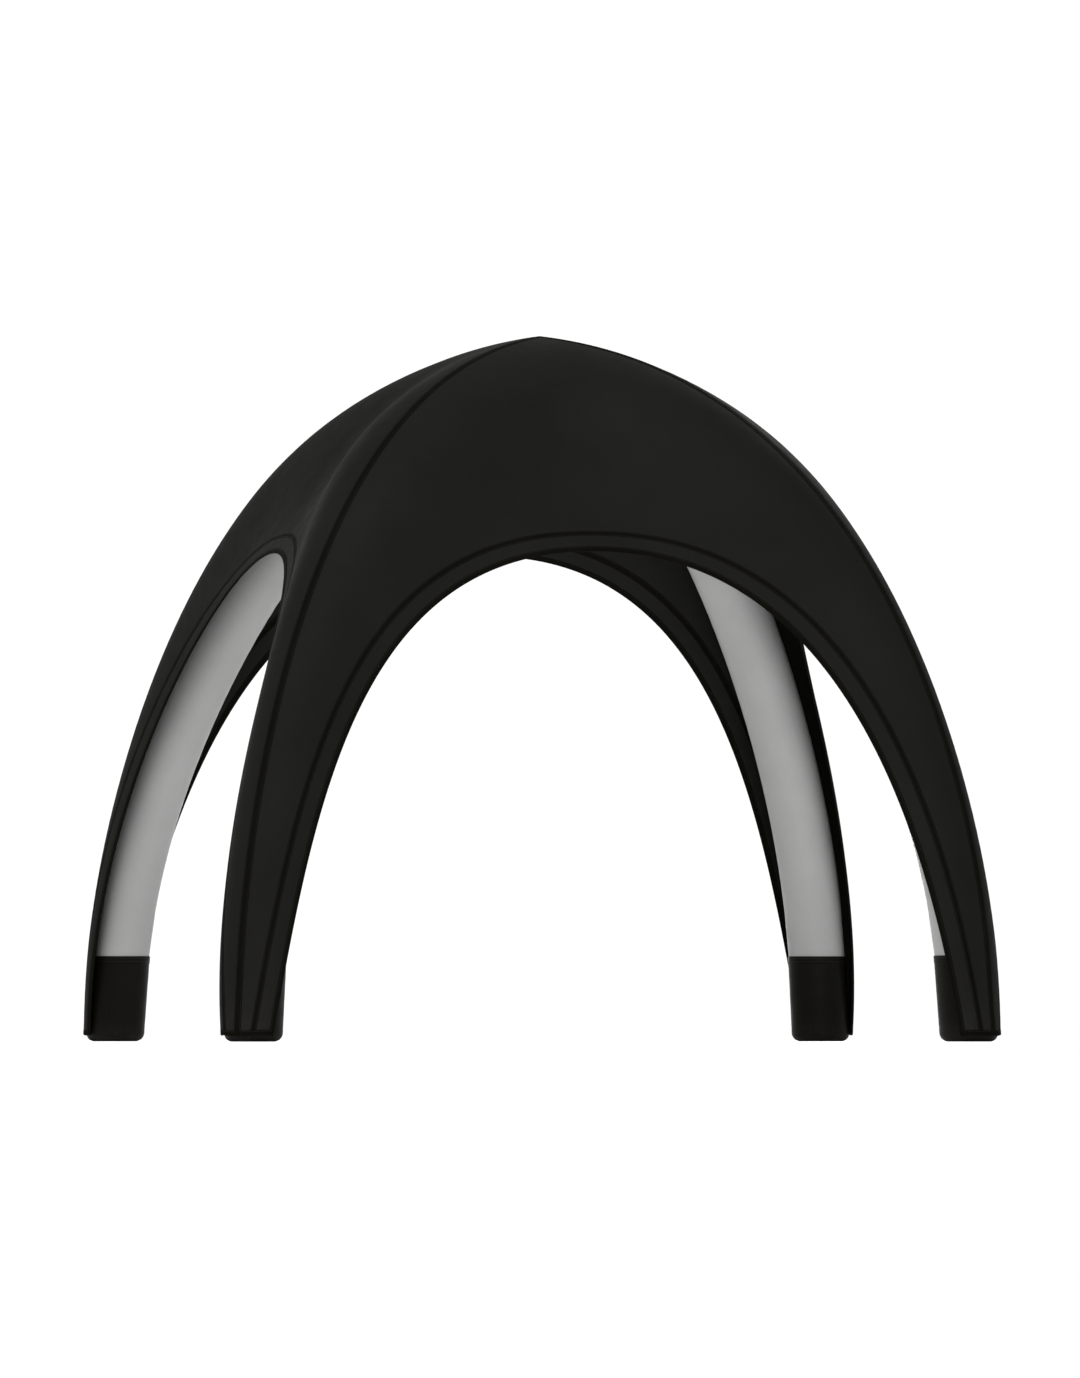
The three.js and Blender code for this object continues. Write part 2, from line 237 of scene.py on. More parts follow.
SIDES = ("back", "left", "front", "right")
CORNERS = ("back_right", "back_left", "front_left", "front_right")
CURVE_STEPS = 400
PARTS = np.linspace(0.0, 1.0, CURVE_STEPS + 1)


# Curves

def curve_points(controls, parts):
    """Points of cubic curves with four control points each, at parts from 0 to 1."""
    on = np.asarray(parts, float)[..., None]
    back = 1.0 - on
    first, second, third, fourth = (controls[..., index, :] for index in range(4))
    return back**3 * first + 3 * back**2 * on * second + 3 * back * on**2 * third + on**3 * fourth


def curve_runs(controls, parts):
    """Directions of cubic curves at parts from 0 to 1."""
    on = np.asarray(parts, float)[..., None]
    back = 1.0 - on
    first, second, third = (controls[..., index + 1, :] - controls[..., index, :] for index in range(3))
    return unit(back**2 * first + 2 * back * on * second + on**2 * third)


def unit(vectors):
    return vectors / np.linalg.norm(vectors, axis=-1, keepdims=True)


def squared(facing, onward):
    """Facings turned square to the onward directions."""
    return unit(facing - onward * (facing * onward).sum(axis=1, keepdims=True))


def lengths_along(points):
    """Distance from the first point to each point, along the last axis but one."""
    steps = np.linalg.norm(np.diff(points, axis=-2), axis=-1)
    return np.concatenate([np.zeros(steps.shape[:-1] + (1,)), np.cumsum(steps, axis=-1)], axis=-1)


def points_at(places, known_places, points):
    """Points of a line at places between its known places."""
    return np.stack([np.interp(places, known_places, points[:, axis]) for axis in range(3)], axis=1)


def on_diagonal(flat):
    return np.stack([flat[:, 0] * DIAGONAL, flat[:, 0] * DIAGONAL, flat[:, 1]], axis=1)


def mirrored_on_diagonal(points):
    return points[..., [1, 0, 2]]


def mix(start, end, part):
    return start + (end - start) * part


RIDGE_TABLE = lengths_along(curve_points(RIDGE, PARTS))
ARCH_TABLE = lengths_along(curve_points(ARCH_EDGE, PARTS))
RIDGE_LENGTH = RIDGE_TABLE[-1]
ARCH_LENGTH = ARCH_TABLE[-1]
SEAM_LENGTH = RIDGE_LENGTH + (BOOT_HEIGHT - SKIN_BOTTOM) * math.hypot(1.0, LEG_LEAN)


# Shape of the roof

def ridge_at(distances):
    """Positions on a ridge at distances from the crown, with the run towards the foot and the facing."""
    parts = np.interp(np.minimum(distances, RIDGE_LENGTH), RIDGE_TABLE, PARTS)
    run = curve_runs(RIDGE, parts)
    flat = curve_points(RIDGE, parts) + run * np.maximum(distances - RIDGE_LENGTH, 0.0)[:, None]
    facing = np.stack([-run[:, 1], run[:, 0]], axis=1)
    return on_diagonal(flat), on_diagonal(run), on_diagonal(facing)


def ribs_at(distances):
    """Control points of the curves across a panel that start at distances along its right ridge."""
    position, run, _ = ridge_at(distances)
    from_foot = SEAM_LENGTH - distances
    crowding = (SEAM_LENGTH - ARCH_LENGTH) * (from_foot / SEAM_LENGTH) ** RIB_CROWDING
    arch_part = np.clip(1.0 - (from_foot - crowding) / ARCH_LENGTH, 0.0, 1.0)
    parts = np.interp(arch_part * ARCH_LENGTH, ARCH_TABLE, PARTS)
    edge = curve_points(ARCH_EDGE, parts)
    facing = mix(HEM_FACING_TOP, HEM_FACING_FOOT, arch_part[:, None])
    arrival = unit(np.cross(facing, curve_runs(ARCH_EDGE, parts)))
    crown = np.maximum(1.0 - distances / CROWN_ZONE, 0.0) ** 2
    departure = np.tile((-DIAGONAL, DIAGONAL, 0.0), (len(distances), 1))
    departure[:, 2] -= crown * (CROWN_FALL + CROWN_FALL_GAIN * distances)
    departure = unit(departure + run * crown[:, None])
    pull = RIB_PULL * np.linalg.norm(edge - position, axis=1)
    ridge_pull = pull * (1.0 - crown * CROWN_TRIM * distances)
    second = position + departure * ridge_pull[:, None]
    third = edge - arrival * pull[:, None]
    return np.stack([position, second, third, edge], axis=1)


def rib_tables(ribs):
    return lengths_along(curve_points(ribs[:, None], np.tile(PARTS, (len(ribs), 1))))


def rib_points(ribs, arcs):
    """Points of ribs at distances from the ridge, one row of distances for each rib."""
    tables = rib_tables(ribs)
    parts = np.stack([np.interp(arc, table, PARTS) for arc, table in zip(arcs, tables)])
    return curve_points(ribs[:, None], parts)


def row_arcs(lengths):
    """Distances of a panel's rows from the ridge, and the half thickness and seam rise of each row."""
    hem_line = (lengths - HEM_WIDTH)[:, None]
    steps = np.linspace(0.0, 1.0, FIELD_ROWS)
    steps = steps - ROW_CROWDING * np.sin(2 * np.pi * steps) / (2 * np.pi)
    field_start = TAPE_HALF_WIDTH + TAPE_MARGIN
    field_end = hem_line + SEAM_PROFILE[0, 0] - TAPE_MARGIN
    hem_start = hem_line + SEAM_PROFILE[-1, 0] + TAPE_MARGIN
    hem_end = hem_line + HEM_WIDTH - EDGE_LAP
    arcs = [
        np.zeros_like(hem_line),
        field_start + (field_end - field_start) * steps,
        hem_line + SEAM_PROFILE[:, 0],
        hem_start + (hem_end - hem_start) * np.linspace(0.0, 1.0, HEM_ROWS),
        hem_line + HEM_WIDTH,
    ]
    above_hem = SEAM_PROFILE[:, 0] < 0
    half = np.concatenate([
        np.full(FIELD_ROWS + 1, CLOTH / 2),
        np.where(above_hem, CLOTH / 2, HEM_CLOTH / 2),
        np.full(HEM_ROWS + 1, HEM_CLOTH / 2),
    ])
    rise = np.concatenate([np.zeros(FIELD_ROWS + 1), SEAM_PROFILE[:, 1], np.zeros(HEM_ROWS + 1)])
    return np.concatenate(arcs, axis=1), half, rise


def both_halves(right, mirror):
    """Whole panel from its right half: columns from the left foot over the crown to the right foot."""
    left = right[1:][::-1] * mirror
    return np.concatenate([left, right])


def facings(points):
    sideways = np.gradient(points, axis=0)
    onwards = np.gradient(points, axis=1)
    return unit(np.cross(sideways, onwards))


def puckers(places, pitch, seed):
    """Uneven row of small rises from 0 to 1, about one every pitch."""
    rng = np.random.default_rng(seed)
    spell = PUCKER_SPELL * pitch
    knots = np.arange(0.0, places.max() + 2 * spell, spell)
    drift = np.interp(places, knots, rng.uniform(-PUCKER_DRIFT, PUCKER_DRIFT, len(knots)))
    height = np.interp(places, knots, rng.uniform(PUCKER_LEAST, 1.0, len(knots)))
    return height * np.sin(np.pi * (places / pitch + drift)) ** 2


def beside(gap, reach):
    """How strongly a rise shows at a gap from its seam: nothing on it, most close by, then fading."""
    start = np.clip(gap / PUCKER_START, 0.0, 1.0)
    return start * np.exp(-np.maximum(gap, 0.0) / reach)


def rounded_middle(points, arcs):
    """Panel rounded over its centre line, so that its two halves meet without a crease."""
    rounded = points.copy()
    centre = len(points) // 2
    for row in range(points.shape[1]):
        share = np.clip((arcs[centre, row] - MIDDLE_START) / (MIDDLE_FULL - MIDDLE_START), 0.0, 1.0)
        line = points[:, row]
        last = centre + np.searchsorted(line[centre:, 0], MIDDLE_ZONE)
        reach = line[last, 0]
        rise = line[last] - line[centre]
        across = line[last + 1] - line[last - 1]
        turn = across / across[0] * reach / 2
        strip = slice(2 * centre - last, last + 1)
        part = (line[strip, :1] / reach) ** 2
        smooth = line[centre] + (2 * rise - turn) * part + (turn - rise) * part**2
        rounded[strip, row, 1:] += share * (smooth - line[strip])[:, 1:]
    return rounded


class Panel:
    """Points of one roof panel that faces +Y, before its quarter turn."""

    def __init__(self):
        distances = np.linspace(0.0, SEAM_LENGTH, PANEL_COLUMNS)
        ribs = ribs_at(distances)
        arcs, self.half, self.rise = row_arcs(rib_tables(ribs)[:, -1])
        right = rib_points(ribs, arcs)
        self.arcs = both_halves(arcs, 1.0)
        whole = both_halves(right, np.array((-1.0, 1.0, 1.0))) + np.array((0.0, PANEL_GAP, 0.0))
        self.middle = rounded_middle(whole, self.arcs)
        self.places = SEAM_LENGTH + both_halves(distances[:, None], -1.0)[:, 0]
        self.facing = facings(self.middle)
        self.first_seam_row = FIELD_ROWS + 1

    def lift(self, seed):
        """Height of the small rises beside the seams."""
        hem_line = self.arcs[:, -1:] - HEM_WIDTH
        lift = np.zeros_like(self.arcs)
        gaps = {
            "ridge": self.arcs - TAPE_HALF_WIDTH - TAPE_MARGIN,
            "hem": np.abs(self.arcs - hem_line) + SEAM_PROFILE[0, 0],
        }
        for order, (seam, gap) in enumerate(gaps.items()):
            rises = puckers(self.places, PUCKER_PITCH[seam], (seed, order))[:, None]
            lift += PUCKER_HEIGHT[seam] * rises * beside(gap, PUCKER_REACH[seam])
        to_binding = np.clip((self.arcs[:, -1:] - EDGE_LAP - self.arcs) / PUCKER_START, 0.0, 1.0)
        return lift * to_binding

    def layer(self, seed, side):
        """Points of the outside of the cloth for side 1, or of its inside for side -1."""
        offset = self.lift(seed) + side * (self.half + self.rise)
        return self.middle + self.facing * offset[..., None]

    def weave(self):
        """Flat coordinates of the cloth along its threads."""
        down = WEAVE_SLOPE * (self.middle[..., 1] - self.middle[..., 2])
        return np.stack([self.middle[..., 0], down], axis=-1)


# Meshes

def turned(points, turns):
    """Points after quarter turns about +Z."""
    angle = turns * math.pi / 2
    cosine = round(math.cos(angle))
    sine = round(math.sin(angle))
    matrix = np.array(((cosine, -sine, 0), (sine, cosine, 0), (0, 0, 1)), float)
    return points @ matrix.T


def grid_faces(columns, rows, wrap=False):
    """Quads of a grid whose points run row by row within each column, facing columns cross rows."""
    index = np.arange(columns * rows).reshape(columns, rows)
    after = np.roll(index, -1, axis=1) if wrap else index[:, 1:]
    here = index if wrap else index[:, :-1]
    return np.stack([here[:-1], here[1:], after[1:], after[:-1]], axis=-1).reshape(-1, 4)


def new_piece(name, points, faces, materials, weave=None, face_materials=None, wear=None):
    """Smooth mesh object with its materials, and its weave coordinates and wear where given."""
    mesh = bpy.data.meshes.new(name)
    mesh.from_pydata(points.reshape(-1, 3).tolist(), [], [list(face) for face in faces])
    mesh.shade_smooth()
    for material in materials:
        mesh.materials.append(material)
    if face_materials is not None:
        mesh.polygons.foreach_set("material_index", np.asarray(face_materials, np.int32))
    if weave is not None:
        corners = np.empty(len(mesh.loops), np.int32)
        mesh.loops.foreach_get("vertex_index", corners)
        layer = mesh.uv_layers.new(name="weave")
        layer.data.foreach_set("uv", weave.reshape(-1, 2)[corners].astype(np.float32).ravel())
    if wear is not None:
        attribute = mesh.attributes.new("wear", "FLOAT", "POINT")
        attribute.data.foreach_set("value", wear.astype(np.float32).ravel())
    mesh.update()
    piece = bpy.data.objects.new(name, mesh)
    bpy.context.scene.collection.objects.link(piece)
    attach(piece, "root")
    return piece


def stand_for(piece, node):
    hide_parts(node)
    return piece


def loop_faces(rings, corners):
    """Quads round a row of closed rings, and one face over each end."""
    sides = [tuple(face) for face in grid_faces(rings, corners, wrap=True)]
    last = (rings - 1) * corners
    start_cap = tuple(range(corners))
    end_cap = tuple(last + corner for corner in reversed(range(corners)))
    return [*sides, start_cap, end_cap]


def strip_loop_faces(rings, corners):
    """Quads round a row of closed rings that fold back on themselves, with quads over each end."""
    sides = [tuple(face) for face in grid_faces(rings, corners, wrap=True)]
    last = (rings - 1) * corners
    caps = []
    for near in range(corners // 2 - 1):
        far = corners - 1 - near
        caps.append((near, near + 1, far - 1, far))
        caps.append((last + far, last + far - 1, last + near + 1, last + near))
    return [*sides, *caps]


def flat_strip(along, around):
    """Flat coordinates of a strip of rings, from their places along it and those of their corners."""
    return np.stack(np.broadcast_arrays(along[:, None], around[None]), axis=-1)


def stitch_shape():
    """Points of one stitch along, across and up, a diamond section between two tips, and its faces."""
    section = ((-0.5, 0.0), (0.0, STITCH_CROWN), (0.5, 0.0), (0.0, -STITCH_CROWN))
    points = np.array([
        (-0.5, 0.0, -STITCH_DIP),
        *[(-STITCH_BODY, across, up) for across, up in section],
        *[(STITCH_BODY, across, up) for across, up in section],
        (0.5, 0.0, -STITCH_DIP),
    ])
    around = [(corner, corner % 4 + 1) for corner in range(1, 5)]
    faces = [(0, second, first) for first, second in around]
    faces += [(first, second, second + 4, first + 4) for first, second in around]
    faces += [(9, first + 4, second + 4) for first, second in around]
    return points * (STITCH_LENGTH, STITCH_WIDTH, STITCH_RISE), faces


def stitch_mesh(lines):
    """Points and faces of rows of stitches, each row on a line that is given by points and facings."""
    shape, outline = stitch_shape()
    points = []
    faces = []
    start = 0
    for line, facing in lines:
        along = lengths_along(line)
        middles = np.arange(STITCH_PITCH, along[-1] - STITCH_PITCH, STITCH_PITCH)
        at = points_at(middles, along, line)
        up = unit(points_at(middles, along, facing))
        run = unit(points_at(middles + STITCH_PROBE, along, line) - at)
        side = np.cross(up, run)
        axes = np.stack([run, side, up], axis=1)
        points.append((at[:, None] + shape @ axes).reshape(-1, 3))
        for _ in middles:
            faces += [tuple(start + corner for corner in face) for face in outline]
            start += len(shape)
    return np.concatenate(points), faces


def folded_section(lap, half):
    """Closed outline of a tape folded round a cut edge: distance past the edge and height."""
    outer_height = half + EDGE_FIT + EDGE_TAPE
    inner_height = half + EDGE_FIT
    centre = EDGE_END_FIT + EDGE_TAPE - outer_height
    soft = EDGE_SOFT * EDGE_TAPE

    def side(height, start):
        turn = np.linspace(0.5, -0.5, EDGE_BEND_POINTS) * math.pi
        bend = [(centre + height * math.cos(angle), height * math.sin(angle)) for angle in turn]
        return [(start, height), (-lap / 2, height), *bend, (-lap / 2, -height), (start, -height)]

    outer = side(outer_height, -lap + soft)
    inner = side(inner_height, -lap + soft)[::-1]
    rim_inside = [(-lap, -outer_height + soft), (-lap, -inner_height - soft)]
    rim_outside = [(-lap, inner_height + soft), (-lap, outer_height - soft)]
    return np.array([*outer, *rim_inside, *inner, *rim_outside])


def folded_tape(edge, onward, facing, half, lap):
    """Rings of a tape folded round a cut edge."""
    sections = np.stack([folded_section(lap, thickness) for thickness in half])
    along = sections[..., :1] * onward[:, None]
    up = sections[..., 1:] * facing[:, None]
    return edge[:, None] + along + up


# Materials

def new_material(name):
    material = bpy.data.materials.new(name)
    material.use_nodes = True
    shader = material.node_tree.nodes["Principled BSDF"]
    return material, material.node_tree, shader


def link(tree, source, target):
    tree.links.new(source, target)


def noise_on_object(tree, scale, detail):
    coordinates = tree.nodes.new("ShaderNodeTexCoord")
    noise = tree.nodes.new("ShaderNodeTexNoise")
    noise.inputs["Scale"].default_value = scale
    noise.inputs["Detail"].default_value = detail
    link(tree, coordinates.outputs["Object"], noise.inputs["Vector"])
    return noise.outputs["Fac"]


def ranged(tree, value, low, high, band=USUAL_TONES):
    """Value mapped from a band to the range between low and high."""
    node = tree.nodes.new("ShaderNodeMapRange")
    node.inputs["From Min"].default_value = band[0]
    node.inputs["From Max"].default_value = band[1]
    node.inputs["To Min"].default_value = low
    node.inputs["To Max"].default_value = high
    link(tree, value, node.inputs["Value"])
    return node.outputs["Result"]


def calculated(tree, operation, first, second=None):
    node = tree.nodes.new("ShaderNodeMath")
    node.operation = operation
    for socket, value in zip(node.inputs, (first, second)):
        if isinstance(value, float):
            socket.default_value = value
        elif value is not None:
            link(tree, value, socket)
    return node.outputs["Value"]


def blended(tree, share, first, second):
    """Colour between two colours or sockets, by share."""
    node = tree.nodes.new("ShaderNodeMix")
    node.data_type = "RGBA"
    link(tree, share, node.inputs["Factor"])
    for name, value in (("A", first), ("B", second)):
        socket = next(s for s in node.inputs if s.name == name and s.type == "RGBA")
        if isinstance(value, tuple):
            socket.default_value = (*value, 1.0)
        else:
            link(tree, value, socket)
    return next(s for s in node.outputs if s.type == "RGBA")


def two_tones(tree, noise, dark, light):
    """Colour that wanders between two tones with a noise of the given scale and detail."""
    return blended(tree, ranged(tree, noise_on_object(tree, *noise), 0.0, 1.0), dark, light)


def thread_wave(tree, axis_value, pitch):
    return calculated(tree, "SINE", calculated(tree, "MULTIPLY", axis_value, math.pi / pitch))


def weave_height(tree, pitch, twill):
    """Height of a woven surface from its flat coordinates: plain weave, or the slanting ribs of twill."""
    uv = tree.nodes.new("ShaderNodeUVMap")
    uv.uv_map = "weave"
    axes = tree.nodes.new("ShaderNodeSeparateXYZ")
    link(tree, uv.outputs["UV"], axes.inputs["Vector"])
    across = axes.outputs["X"]
    along = axes.outputs["Y"]
    if twill:
        slant = calculated(tree, "ADD", across, along)
        return calculated(tree, "ABSOLUTE", thread_wave(tree, slant, pitch))
    waves = [thread_wave(tree, axis, pitch) for axis in (across, along)]
    return calculated(tree, "MULTIPLY", *waves)


def bumped(tree, shader, height, distance):
    bump = tree.nodes.new("ShaderNodeBump")
    bump.inputs["Distance"].default_value = distance
    bump.inputs["Strength"].default_value = WEAVE_STRENGTH
    link(tree, height, bump.inputs["Height"])
    link(tree, bump.outputs["Normal"], shader.inputs["Normal"])


def dusted(tree, colour):
    """Colour with specks of dust where the wear attribute says so."""
    wear = tree.nodes.new("ShaderNodeAttribute")
    wear.attribute_name = "wear"
    specks = ranged(tree, noise_on_object(tree, *DUST_SPECKS), DUST_LEAST, 1.0)
    share = calculated(tree, "MULTIPLY", wear.outputs["Fac"], specks)
    return blended(tree, share, colour, DUST)


def woven_material(name, dark, light, roughness, specular, pitch, depth, twill=False, dusty=False):
    """Woven cloth: two tones in soft clouds, uneven gloss, its weave as bump, and dust on request."""
    material, tree, shader = new_material(name)
    colour = two_tones(tree, CLOTH_CLOUDS, dark, light)
    if dusty:
        colour = dusted(tree, colour)
    link(tree, colour, shader.inputs["Base Color"])
    rubbed = noise_on_object(tree, *CLOTH_RUBBING)
    link(tree, ranged(tree, rubbed, *roughness), shader.inputs["Roughness"])
    shader.inputs["Specular IOR Level"].default_value = specular
    bumped(tree, shader, weave_height(tree, pitch, twill), depth)
    return material


def smooth_material(name, noise, dark, light, roughness, specular):
    """Surface in two tones without a weave."""
    material, tree, shader = new_material(name)
    link(tree, two_tones(tree, noise, dark, light), shader.inputs["Base Color"])
    shader.inputs["Roughness"].default_value = roughness
    shader.inputs["Specular IOR Level"].default_value = specular
    return material


MATERIALS = {
    "panel": woven_material(
        "panel_cloth",
        dark=(0.0072, 0.0072, 0.0063),
        light=(0.0088, 0.0088, 0.0077),
        roughness=(0.62, 0.70),
        specular=0.035,
        pitch=0.0012,
        depth=0.0001,
        dusty=True,
    ),
    "tape": woven_material(
        "binding_tape",
        dark=(0.0026, 0.0024, 0.0015),
        light=(0.0036, 0.0034, 0.0022),
        roughness=(0.70, 0.82),
        specular=0.02,
        pitch=0.0018,
        depth=0.0003,
        twill=True,
    ),
    "tube": woven_material(
        "tube_cloth",
        dark=(0.228, 0.228, 0.226),
        light=(0.256, 0.256, 0.254),
        roughness=(0.48, 0.60),
        specular=0.20,
        pitch=0.0010,
        depth=0.00015,
    ),
    "boot": woven_material(
        "boot_cloth",
        dark=(0.0024, 0.0022, 0.0014),
        light=(0.0034, 0.0031, 0.0021),
        roughness=(0.42, 0.52),
        specular=0.04,
        pitch=0.0012,
        depth=0.0002,
        dusty=True,
    ),
    "thread": smooth_material(
        "thread",
        noise=THREAD_TWIST,
        dark=(0.008, 0.008, 0.007),
        light=(0.018, 0.018, 0.016),
        roughness=0.55,
        specular=0.25,
    ),
    "floor": smooth_material(
        "pale_floor",
        noise=FLOOR_CLOUDS,
        dark=(0.945, 0.945, 0.945),
        light=(0.96, 0.96, 0.96),
        roughness=0.9,
        specular=0.1,
    ),
}


# Pieces of the roof

def low_wear(points, top):
    """Share of dust on cloth, from nothing at the top height to most at the floor."""
    return DUST_SHARE * np.clip(1.0 - points[..., 2] / top, 0.0, 1.0) ** 2


def make_panel(panel, turns):
    """One roof panel as a closed sheet, its hem seam in the darker tape cloth."""
    side = SIDES[turns]
    layers = [turned(panel.layer(turns, way), turns) for way in (1, -1)]
    columns, rows = panel.arcs.shape
    count = columns * rows
    index = np.arange(count).reshape(columns, rows)
    outside = grid_faces(columns, rows)
    inside = count + outside[:, ::-1]
    border = np.concatenate([index[:, 0], index[-1, 1:], index[-2::-1, -1], index[0, -2:0:-1]])
    following = np.roll(border, -1)
    rim = np.stack([following, border, border + count, following + count], axis=1)
    row_of_face = np.tile(np.arange(rows - 1), columns - 1)
    seam_end = panel.first_seam_row + len(SEAM_PROFILE) - 1
    in_seam = (row_of_face >= panel.first_seam_row) & (row_of_face < seam_end)
    piece = new_piece(
        f"cloth_panel_{side}",
        np.stack(layers),
        np.concatenate([outside, inside, rim]).tolist(),
        [MATERIALS["panel"], MATERIALS["tape"]],
        weave=np.stack([panel.weave()] * 2),
        face_materials=np.concatenate([in_seam, in_seam, np.zeros(len(rim), bool)]),
        wear=np.stack([low_wear(layer, PANEL_DUST_TOP) for layer in layers]),
    )
    return stand_for(piece, f"roof_panel_{side}")


def make_arch_binding(panel, turns):
    """Tape folded round the arch edge of a panel, with the lines that it is sewn on."""
    side = SIDES[turns]
    edge = panel.middle[:, -1]
    onward = unit(edge - panel.middle[:, -2])
    facing = squared(panel.facing[:, -1], onward)
    rings = folded_tape(edge, onward, facing, np.full(len(edge), HEM_CLOTH / 2), EDGE_LAP)
    piece = new_piece(
        f"arch_tape_{side}",
        turned(rings, turns),
        strip_loop_faces(*rings.shape[:2]),
        [MATERIALS["tape"]],
        weave=flat_strip(lengths_along(edge), lengths_along(rings[0])),
    )
    stand_for(piece, f"arch_binding_{side}")
    height = HEM_CLOTH / 2 + EDGE_FIT + EDGE_TAPE
    line = edge - onward * EDGE_STITCH
    return piece, [(line + facing * way * height, facing * way) for way in (1, -1)]


def make_foot_binding(panel, turns, order):
    """Tape folded round the lower edge of one foot of a panel, with the line that it is sewn on."""
    side = SIDES[turns]
    first = order == "first"
    last_column, next_column = (-1, -2) if first else (0, 1)
    arcs = panel.arcs[last_column]
    tape_start = TAPE_HALF_WIDTH + TAPE_MARGIN
    tape_end = arcs[-1] - EDGE_LAP - FOOT_END_GAP
    places = np.linspace(tape_start, tape_end, FOOT_SECTIONS)
    edge = points_at(places, arcs, panel.middle[last_column])
    above = points_at(places, arcs, panel.middle[next_column])
    onward = unit(edge - above)
    facing = squared(unit(points_at(places, arcs, panel.facing[last_column])), onward)
    half = np.interp(places, arcs, panel.half + panel.rise)
    rings = folded_tape(edge, onward, facing, half, FOOT_LAP)
    if first:
        rings = rings[::-1]
    piece = new_piece(
        f"foot_tape_{order}_{side}",
        turned(rings, turns),
        strip_loop_faces(*rings.shape[:2]),
        [MATERIALS["tape"]],
        weave=flat_strip(places, lengths_along(rings[0])),
    )
    stand_for(piece, f"foot_binding_{order}_{side}")
    height = half + EDGE_FIT + EDGE_TAPE
    line = edge - onward * (EDGE_STITCH - EDGE_LAP + FOOT_LAP) + facing * height[:, None]
    return piece, [(line, facing)]


def hem_seam_lines(panel, turns):
    """Lines of stitches along the hem seam, two outside and one inside."""
    outside, inside = (panel.layer(turns, way) for way in (1, -1))
    rows = [panel.first_seam_row + row for row in SEAM_STITCH_ROWS]
    lines = [(outside[:, row], panel.facing[:, row]) for row in rows]
    return [*lines, (inside[:, rows[0]], -panel.facing[:, rows[0]])]


def make_stitching(name, lines, turns):
    points, faces = stitch_mesh(lines)
    piece = new_piece(name, turned(points, turns), faces, [MATERIALS["thread"]])
    return piece


def ridge_tape_points(distances, offsets, height):
    """Points over a ridge at distances from the crown and offsets to its left, and their facings."""
    ribs = ribs_at(distances)
    _, run, _ = ridge_at(distances)
    departure = unit(ribs[:, 1] - ribs[:, 0])
    slant = np.linalg.norm(np.cross(departure, run), axis=1, keepdims=True)
    arcs = np.abs(offsets)[None] / slant
    points = rib_points(ribs, arcs)
    ahead = rib_points(ribs, arcs + TAPE_PROBE)
    down = np.gradient(points, axis=0)
    facing = unit(np.cross(down, ahead - points))
    inwards = facing[..., 2:] + facing[..., :1] < 0
    facing = np.where(inwards, -facing, facing)
    left = (offsets >= 0)[None, :, None]
    points = np.where(left, points, mirrored_on_diagonal(points))
    facing = np.where(left, facing, mirrored_on_diagonal(facing))
    return points + facing * (CLOTH / 2 + TAPE_FIT + height)[None, :, None], facing


def make_ridge_tape(turns):
    """Tape sewn over the seam between two panels, mitred against the other tapes at the crown."""
    corner = CORNERS[turns]
    count = int(SEAM_LENGTH / TAPE_STEP)
    distances = np.linspace(TAPE_TIP, SEAM_LENGTH, count)
    top = np.linspace(1.0, -1.0, TAPE_TOP_POINTS) * (TAPE_HALF_WIDTH - TAPE_SOFT)
    under = np.linspace(-1.0, 1.0, TAPE_UNDER_POINTS) * (TAPE_HALF_WIDTH - TAPE_SOFT)
    offsets = np.concatenate([top, [-TAPE_HALF_WIDTH], under, [TAPE_HALF_WIDTH]])
    height = np.concatenate([np.full(len(top), TAPE), [TAPE / 2], np.zeros(len(under)), [TAPE / 2]])
    rings, _ = ridge_tape_points(distances, offsets, height)
    piece = new_piece(
        f"ridge_band_{corner}",
        turned(rings, turns),
        loop_faces(count, len(offsets)),
        [MATERIALS["tape"]],
        weave=flat_strip(distances, lengths_along(rings[0])),
    )
    stand_for(piece, f"ridge_tape_{corner}")
    sewn, facing = ridge_tape_points(distances, np.array((TAPE_STITCH, -TAPE_STITCH)), np.full(2, TAPE))
    lines = [(sewn[:, side], facing[:, side]) for side in range(2)]
    make_stitching(f"ridge_stitching_{corner}", lines, turns)


# Tubes and boots

def ring_at(centre, facing, radius):
    """Ring about each centre, from the side that faces out, with a radius for each of its points."""
    sides = radius.shape[-1]
    angle = np.linspace(0.0, 2 * np.pi, sides, endpoint=False)
    across = np.array((DIAGONAL, -DIAGONAL, 0.0))
    out = facing[..., None, :] * np.cos(angle)[:, None] + across * np.sin(angle)[:, None]
    return centre[..., None, :] + out * radius[..., None]


def leg_centre(heights):
    away = FOOT_SPAN * DIAGONAL - LEG_LEAN * heights
    return np.stack([away * DIAGONAL, away * DIAGONAL, heights], axis=-1)


def level_rings(heights, radius):
    """Level rings of a leg inside its boot, or of the boot itself."""
    facing = np.tile((DIAGONAL, DIAGONAL, 0.0), (len(heights), 1))
    return ring_at(leg_centre(heights), facing, radius)


def mitre_ring(ring, next_ring):
    """Ring where a tube is cut by the two upright planes that it shares with its neighbours."""
    away = [(points[:, 0] + points[:, 1]) * DIAGONAL for points in (ring, next_ring)]
    aside = [np.abs(points[:, 0] - points[:, 1]) * DIAGONAL for points in (ring, next_ring)]
    short = aside[0] + MITRE_GAP - away[0]
    gain = away[1] - away[0] - (aside[1] - aside[0])
    return mix(ring, next_ring, (short / gain)[:, None])


def rounded_end(radius, bottom, round_size, rings):
    """Radii and heights of a rounded lower edge, from the wall down to the flat sole."""
    turn = np.linspace(0.0, 0.5, rings) * math.pi
    return radius - round_size * (1 - np.cos(turn)), bottom + round_size * (1 - np.sin(turn))


def plain_radius(distances):
    return mix(TUBE_RADIUS_CROWN, TUBE_RADIUS_FOOT, distances / RIDGE_LENGTH)


